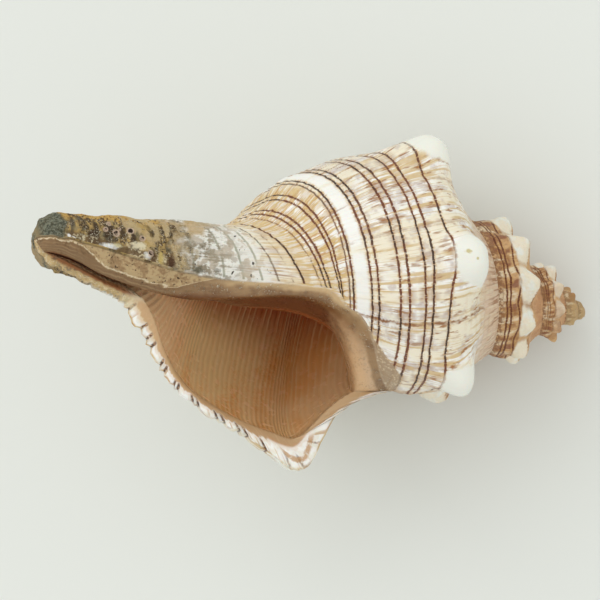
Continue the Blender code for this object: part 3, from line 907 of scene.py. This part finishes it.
# The tip is green-black, and beside the callus the crust is dark and cream.
greenish = coats(
    (0.055, 0.06, 0.04),
    ((0.24, 0.25, 0.18), (speckle * 0.6 + crumble * 0.4).ease(0.42, 0.62)),
    ((0.36, 0.28, 0.15), row.ease(9.55, 9.85) * mottle.ease(0.35, 0.6)),
    ((0.42, 0.32, 0.18), angle.ease(170.0, 240.0) * mottle.ease(0.3, 0.5)),
)
beside_callus = ragged(angle - row.ease(8.0, 9.0) * 30.0 + 20.0, 12.0).ease(15.0, 9.0)
beside_callus = beside_callus * row.ease(8.15, 8.35) * row.ease(9.2, 9.05)
dark_and_cream = blend((0.14, 0.085, 0.04), (0.74, 0.64, 0.42), gritty.ease(0.49, 0.57))
colour = coats(
    colour,
    (chalky, chalk * (mottle + 0.45).under(1.0)),
    (crusty, crust),
    (greenish, ragged(row, 0.35).ease(9.02, 9.2) * 0.95),
    (dark_and_cream, beside_callus * 0.8),
)
# Flakes and stains beside the canal: angle, row, half sizes in both, colour and share.
CANAL_PATCHES = [
    (12.0, 9.07, 5.0, 0.045, WHITE, 1.0),
    (9.0, 8.98, 4.0, 0.04, WHITE, 0.9),
    (5.0, 8.66, 6.0, 0.07, WHITE, 0.95),
    (8.0, 8.6, 4.0, 0.04, (0.7, 0.62, 0.36), 0.9),
    (12.0, 8.47, 8.0, 0.07, (0.8, 0.72, 0.5), 0.9),
    (-2.0, 8.41, 7.0, 0.03, WHITE, 0.8),
    (0.0, 8.375, 12.0, 0.022, (0.1, 0.05, 0.02), 0.9),
    (-4.0, 8.325, 15.0, 0.024, (0.6, 0.46, 0.16), 0.9),
    (-6.0, 8.255, 16.0, 0.035, (0.09, 0.038, 0.015), 0.95),
    (-14.0, 8.06, 8.0, 0.06, (0.11, 0.1, 0.06), 0.8),
    (-10.0, 7.9, 6.0, 0.04, (0.12, 0.11, 0.07), 0.6),
]
for centre_angle, centre_row, half_angle, half_row, paint, share in CANAL_PATCHES:
    colour = blend(colour, paint, patch(centre_angle, centre_row, half_angle, half_row) * share)
# Bored holes are painted near-black inside, as painted shade in the sunken holes, within a pinkish ring of
# fresh lime.
for hole_angle, hole_row, radius in BORER_HOLES:
    inputs = {0: where, 1: lie @ Vector(place(*outline(hole_angle, hole_row), hole_angle)) + POLE}
    away = Value(Value.node("ShaderNodeVectorMath", {"operation": "DISTANCE"}, inputs).outputs["Value"])
    away = away / radius + (speckle - 0.5) * 0.4
    colour = blend(colour, (0.62, 0.46, 0.34), away.ease(1.9, 1.4) * 0.9)
    # Painted shade inside the hole.
    colour = blend(colour, (0.03, 0.016, 0.01), away.ease(1.25, 0.95))

# Glaze spreads from the corner of the mouth a little way over the whorl.
GLAZE = (0.4, 0.28, 0.17)
glaze_edge = ragged((row - 4.16) * 26.0 - 51.0, 5.0)
glaze = (angle - glaze_edge).ease(1.5, -0.5) * row.ease(3.92, 4.08) * row.ease(5.2, 5.0)
glaze = (glaze * angle.ease(-81.0, -79.0)).over(row_round_mouth.ease(14.3, 14.9))
colour = blend(colour, blend(GLAZE, (0.62, 0.5, 0.33), speckle.ease(0.55, 0.64)), glaze * 0.95)

# Inside the mouth, the lip has a white edge, spotted brown where lines and streaks reach it.
in_mouth = ring.ease(0.15, 0.9)
ring_about = ragged(ring, 1.6)
along_lip = grain_map(row * 7.0, 0.0, 131.0)
lip_band = 3.0 + row.around(2.0, 0.5, 1.3) * 2.4 + (along_lip - 0.5) * 5.0
spots = abs(off_line + jitter * 0.8).ease(line_half * 2.4 + 0.25, line_half * 1.5)
spots = spots * ring.around(1.2, 1.4, 3.2) * (strength * 1.3 + 0.3).under(1.0)
spots = spots * speckle.ease(0.25, 0.45) * 0.95
arch = (ring - 2.2 - (row - 1.95) * (row - 1.95) * 9.0 + (speckle - 0.5)).around(0.0, 0.4, 1.0)
rim = coats(
    (0.82, 0.78, 0.68),
    (WHITE, mottle.ease(0.4, 0.56)),
    ((0.66, 0.5, 0.26), ragged(row, 0.8).ease(5.7, 6.2) * ring.ease(1.5, 4.0) * 0.85),
    ((0.52, 0.3, 0.12), along_lip.ease(0.54, 0.62) * ring_about.around(1.6, 1.0, 2.2) * 0.75),
    (blend((0.42, 0.2, 0.06), (0.07, 0.025, 0.012), speckle.ease(0.4, 0.55)), spots),
    ((0.5, 0.26, 0.09), arch * row.around(1.95, 0.35, 0.55) * mottle.ease(0.4, 0.5) * 0.8),
    ((0.5, 0.29, 0.15), ring.ease(5.0, 5.8) * row.around(2.1, 0.5, 0.9)),
    ((0.66, 0.4, 0.24), (ring_about - lip_band).around(-0.3, 0.2, 0.8) * 0.3),
)
# The throat is orange-brown, darkest under the columella, where the deep red is partly painted shade, and
# ribbed by fine lirae.
lirae = ragged(row * 49.0 + (cloudy - 0.5) * 5.0, 1.2).wave()
lirae_broken = grain_map(row * 5.0, angle / 25.0, 7.0, 2.0).ease(0.35, 0.6)
flames = grain_map(row * 2.2, angle / 60.0, 61.0)
throat = coats(
    (0.96, 0.63, 0.3),
    ((0.86, 0.42, 0.13), (cloudy * 0.4 + flames * 0.6).ease(0.4, 0.6)),
    ((0.99, 0.72, 0.34), patch(215.0, 4.5, 60.0, 1.8) * 0.9),
    ((0.96, 0.62, 0.34), row.ease(5.0, 6.0) * 0.75),
    # Deep red far into the hollow under the columella: partly the glaze's own colour, partly painted shade.
    ((0.4, 0.06, 0.008), ring.ease(20.5, 25.5) * 0.95),
    ((0.44, 0.24, 0.11), ring.ease(12.5, 9.0) * row.ease(5.4, 4.2) * 0.85),
    # Paler on the lirae's crests and a little darker between them, following their relief: partly their own
    # lime, partly painted highlight and painted shade.
    ((0.96, 0.72, 0.4), lirae.ease(0.3, 1.0) * lirae_broken * 0.5),
    ((0.6, 0.29, 0.1), lirae.ease(-0.3, -1.0) * 0.18),
    ((0.8, 0.55, 0.3), row.ease(2.1, 1.3) * ring.ease(24.0, 12.0) * 0.9),
    ((0.9, 0.78, 0.56), crumble.ease(0.66, 0.7) * mottle.ease(0.56, 0.62)),
    ((0.46, 0.295, 0.155), ring_about.ease(12.5, 8.0) * 0.8),
)
lip_lining = blend(rim, throat, (ring_about - lip_band).ease(0.0, 1.1))
# The callus is a glossy brown pad with crusty specks, lighter at its edge and in the corner, and darkened
# towards the hollow by painted shade.
specks = (crumble * 0.6 + speckle * 0.4).ease(0.575, 0.61) * mottle.ease(0.48, 0.56)
before_canal = row.ease(7.9, 7.3)
pad = coats(
    (0.33, 0.205, 0.1),
    ((0.22, 0.125, 0.058), (cloudy * 0.6 + mottle * 0.4).ease(0.42, 0.58)),
    ((0.6, 0.43, 0.23), ring_about.ease(2.6, 1.0) * row.ease(4.6, 5.2) * 0.75),
    # Painted shade: the pad darkens towards the hollow.
    ((0.16, 0.062, 0.02), ring_about.ease(3.2, 6.0) * before_canal * 0.9),
    ((0.8, 0.72, 0.55), specks * ring.ease(9.0, 4.0) * 0.9),
    ((0.66, 0.45, 0.27), row.ease(4.75, 4.35) * ring_about.ease(2.2, 3.6) * 0.85),
)
# Beside the canal it is olive tan down to its scalloped edge, and brown in the fold below, with painted
# highlights and painted shade across the fold.
edge_noise = grain_map(row * 9.0, 0.0, 83.0, 4.0) - 0.5
edge_place = row.ease(7.83, 7.98) * 4.6 - row.ease(8.66, 8.92) * 3.2
past_edge = ring - edge_place - edge_noise * 2.4 - (speckle - 0.5) * 1.0
fold_highlight_and_shade = (ragged(ring * 5.0, 9.0) + (cloudy - 0.5) * 8.0).wave()
in_fold = past_edge.ease(0.5, 1.2) * cloudy.ease(0.35, 0.6)
beside = coats(
    (0.46, 0.33, 0.17),
    ((0.33, 0.21, 0.1), (mottle * 0.6 + speckle * 0.4).ease(0.44, 0.56)),
    ((0.23, 0.135, 0.06), past_edge.ease(0.1, 0.7)),
    # Painted highlights on the fold's ridges and painted shade between them.
    ((0.38, 0.26, 0.13), in_fold * fold_highlight_and_shade.ease(0.0, 0.9) * 0.5),
    ((0.2, 0.11, 0.06), in_fold * fold_highlight_and_shade.ease(-0.2, -1.0) * 0.4),
    ((0.74, 0.62, 0.42), past_edge.around(0.0, 0.05, 0.4) * speckle.ease(0.35, 0.5) * 0.85),
)
pits = (grain(where, 1.25, 1.0) * 0.85 + speckle * 0.15).ease(0.655, 0.685) * row.ease(7.8, 8.1)
pad = coats(
    pad,
    (beside, row.ease(7.5, 8.0)),
    ((0.07, 0.035, 0.015), pits * past_edge.ease(1.2, 0.4) * ring.ease(0.8, 1.5) * 0.95),
)
# Deeper in, the columella is red-brown, its darker red near the pad partly painted shade, with a band of
# painted shadow where the pad meets the hollow and painted shade down the canal.
core = blend((0.27, 0.065, 0.016), (0.4, 0.13, 0.035), ring.ease(12.0, 24.0))
callus = coats(
    pad,
    (core, ring_about.ease(7.0, 10.0)),
    # Painted shadow: a near-black band where the pad drops into the hollow.
    ((0.1, 0.03, 0.01), ring_about.around(10.5, 2.0, 4.5) * before_canal * 0.85),
    # Painted shade deep in the canal's channel.
    ((0.12, 0.045, 0.02), ring.ease(7.5, 9.5) * row.ease(7.3, 7.8)),
    ((0.66, 0.43, 0.23), ragged(row, 0.4).ease(5.0, 4.2) * ring.ease(3.5, 6.0) * 0.85),
)
# The lip beside the canal is rough and ochre, and red-brown inside the slit.
canal_lip = coats(
    (0.58, 0.42, 0.2),
    ((0.26, 0.1, 0.03), (ring_about + speckle * 2.0).ease(4.0, 7.0)),
    ((0.78, 0.66, 0.44), speckle.ease(0.5, 0.62) * ring.ease(5.0, 3.0) * 0.7),
    ((0.16, 0.1, 0.05), gritty.ease(0.56, 0.62) * 0.7),
    ((0.8, 0.7, 0.48), row.ease(7.5, 6.9) * 0.8),
)
lining = coats(
    callus,
    (lip_lining, by_lip.ease(0.45, 0.55)),
    (canal_lip, by_lip * ragged(row, 0.4).ease(6.8, 7.1) * ring.ease(11.0, 9.0)),
)
colour = blend(colour, lining, in_mouth)

# Relief too fine for the mesh, outside and then inside the mouth.
outside = 1.0 - in_mouth
rubbed = row.ease(7.2, 8.2)
height_outside = (
    (strokes * 0.2 + hairs * 0.14) * (1.0 - white_knob * 0.7)
    + (speckle * 0.55 + crumble * 0.3 + smudges * 0.6) * rubbed
    + across_folds * crust * 0.8
    + (speckle * 0.3 + crumble * 0.15 + mottle * 0.4) * on_spire
    - line * 0.1
)
height_inside = (
    (speckle * 0.16 + mottle * 0.3 + specks * 0.15) * (1.0 - by_lip)
    + (speckle * 0.6 + crumble * 0.3) * by_lip * row.ease(6.8, 7.3)
    - pits * 0.45
)
height = height_outside * outside + height_inside * in_mouth
height = height + lirae * 0.1 * by_lip * ring.ease(7.0, 9.0)
inputs = {"Height": height, "Strength": 0.9, "Distance": MM}
bump = Value(Value.node("ShaderNodeBump", None, inputs).outputs[0])

# Polished on the last whorl and in the mouth, dull on the canal and the spire.
shine = ragged(0.36 + rubbed * 0.34 + on_spire * 0.14, 0.25) - white_knob * 0.14
shine = shine * outside + in_mouth * ragged(0.26 + row.ease(7.8, 8.4) * 0.25, 0.15)
inputs = {"Base Color": colour, "Roughness": shine, "Normal": bump, "IOR": 1.52, "Metallic": 0.0}
surface = Value.node("ShaderNodeBsdfPrincipled", None, inputs)
surface.inputs["Specular IOR Level"].default_value = 0.3
surface.inputs["Subsurface Weight"].default_value = 0.12
surface.inputs["Subsurface Radius"].default_value = (0.0022, 0.0013, 0.0008)
surface.inputs["Subsurface Scale"].default_value = 1.0
Value.node("ShaderNodeOutputMaterial", None, {"Surface": Value(surface.outputs[0])})
mesh.materials.append(lime)


# ------ Floor, light and camera ------
# The shell lies on a sheet of pale paper that runs out past the view. One wide soft lamp behind
# and to the left and the white walls of the room light it, and the camera looks down from far off.

floor_mesh = bpy.data.meshes.new("floor")
bm = bmesh.new()
bmesh.ops.create_grid(bm, x_segments=1, y_segments=1, size=1.5)
bm.to_mesh(floor_mesh)
bm.free()
floor = add("floor", floor_mesh)
paper = bpy.data.materials.new("paper")
paper.use_nodes = True
matt = paper.node_tree.nodes["Principled BSDF"]
matt.inputs["Base Color"].default_value = (0.755, 0.775, 0.735, 1.0)
matt.inputs["Roughness"].default_value = 0.8
floor_mesh.materials.append(paper)

world = bpy.data.worlds.new("studio")
world.use_nodes = True
walls = world.node_tree.nodes["Background"]
walls.inputs["Color"].default_value = (0.99, 1.0, 0.985, 1.0)
walls.inputs["Strength"].default_value = 0.925
bpy.context.scene.world = world

# A square lamp with a soft front, aimed at the middle of the shell.
LAMP_PLACE = Vector((-2.0, 2.0, 2.6))
LAMP_TARGET = Vector((0.0, 0.0, 0.02))
lamp = bpy.data.lights.new("key", "AREA")
lamp.shape = "SQUARE"
lamp.size = 3.4
lamp.energy = 36.0
key = add("key", lamp)
key.location = LAMP_PLACE
key.rotation_euler = (LAMP_TARGET - LAMP_PLACE).to_track_quat("-Z", "Y").to_euler()

VIEW_TURN = Euler([math.radians(angle) for angle in (1.18, 6.805, 7.51)])
VIEW_CENTRE = Vector((-0.002, -0.0015, 0.038))
VIEW_WIDTH = 0.1428
VIEW_DISTANCE = 3.2
lens = bpy.data.cameras.new("camera")
lens.sensor_width = 36.0
lens.lens = lens.sensor_width * VIEW_DISTANCE / VIEW_WIDTH
lens.clip_start = 0.05
lens.clip_end = 10.0
camera = add("camera", lens)
camera.rotation_euler = VIEW_TURN
camera.location = VIEW_CENTRE + VIEW_TURN.to_matrix() @ Vector((0.0, 0.0, VIEW_DISTANCE))
bpy.context.scene.camera = camera
bpy.context.scene.view_settings.view_transform = "Standard"
